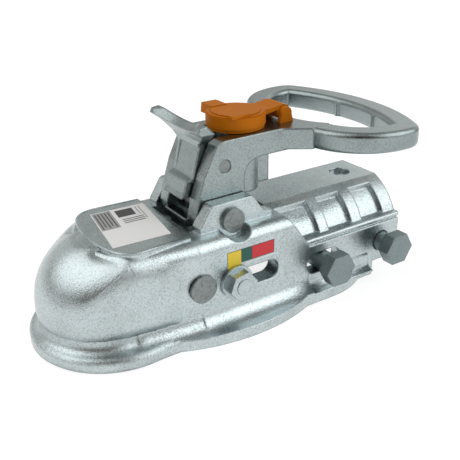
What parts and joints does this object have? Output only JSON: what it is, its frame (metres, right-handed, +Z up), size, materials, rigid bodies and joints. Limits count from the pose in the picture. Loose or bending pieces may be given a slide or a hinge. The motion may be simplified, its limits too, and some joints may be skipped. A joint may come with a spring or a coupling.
{
  "type": "trailer coupling head",
  "caption": "Cast trailer coupling head for a 50 mm ball, with lifting handle, safety catch, capped lock and a bolted drawbar socket",
  "frame": {"origin": "centre of the towing ball when the head is seated on it", "axes": "+X runs rearwards to the drawbar end, Y runs across, +Z points up; the pictured side faces -Y"},
  "size_m": [0.2278, 0.123, 0.1122],
  "materials": {
    "cast_body": "zinc plated, grainy as cast",
    "cast_handle": "zinc plated, fine grain",
    "forged_steel": "plain forged",
    "rivet_steel": "dull grey",
    "spring_steel": "satin wire",
    "plated_fastener": "bright zinc plating",
    "bolt_steel": "grey zinc plating",
    "lock_metal": "satin",
    "orange_plastic": "satin orange"
  },
  "bodies": {
    "frame": {"coupling_body": "cast_body", "jaw_pin": "rivet_steel", "jaw_spring": "spring_steel", "pivot_pin": "rivet_steel", "handle_spring": "spring_steel", "cross_bolt_front": "bolt_steel", "cross_bolt_rear": "bolt_steel", "cross_nut_front": "bolt_steel", "cross_nut_rear": "bolt_steel"},
    "handle": {"handle": "cast_handle", "catch_pin": "rivet_steel", "catch_spring": "spring_steel", "lock_cylinder": "lock_metal", "cap_anchor": "orange_plastic"},
    "catch": {"safety_catch": "cast_handle"},
    "jaw": {"ball_jaw": "forged_steel"},
    "indicator": {"indicator_shaft": "plated_fastener", "indicator_washer_near": "plated_fastener", "indicator_washer_far": "plated_fastener", "indicator_nut_near": "plated_fastener", "indicator_nut_far": "plated_fastener"},
    "lock": {"lock_plug": "lock_metal", "lock_tongue": "lock_metal"},
    "cap": {"cap": "orange_plastic"}
  },
  "joints": [
    {"name": "handle_hinge", "type": "hinge", "parent": "frame", "child": "handle", "pos_m": [0.0663, 0, 0.0475], "axis": [0, -1, 0], "range_deg": [0, 40]},
    {"name": "indicator_slide", "type": "slide", "parent": "frame", "child": "indicator", "axis": [1, 0, 0], "range_m": [0, 0.0231]},
    {"name": "jaw_hinge", "type": "hinge", "parent": "frame", "child": "jaw", "pos_m": [0.0406, 0, 0.0184], "axis": [0, -1, 0], "range_deg": [0, 18]},
    {"name": "catch_hinge", "type": "hinge", "parent": "handle", "child": "catch", "pos_m": [0.0683, 0, 0.0744], "axis": [0, -1, 0], "range_deg": [0, 12]},
    {"name": "lock_turn", "type": "hinge", "parent": "handle", "child": "lock", "pos_m": [0.088, 0, 0.06], "axis": [0, 0, 1], "range_deg": [0, 90]},
    {"name": "cap_hinge", "type": "hinge", "parent": "handle", "child": "cap", "pos_m": [0.1155, 0, 0.0937], "axis": [0, 1, 0], "range_deg": [0, 110]}
  ],
  "couplings": [
    {"joint": "indicator_slide", "follows": "handle_hinge", "m_per_rad": 0.032945},
    {"joint": "jaw_hinge", "follows": "handle_hinge", "ratio": 0.45}
  ]
}
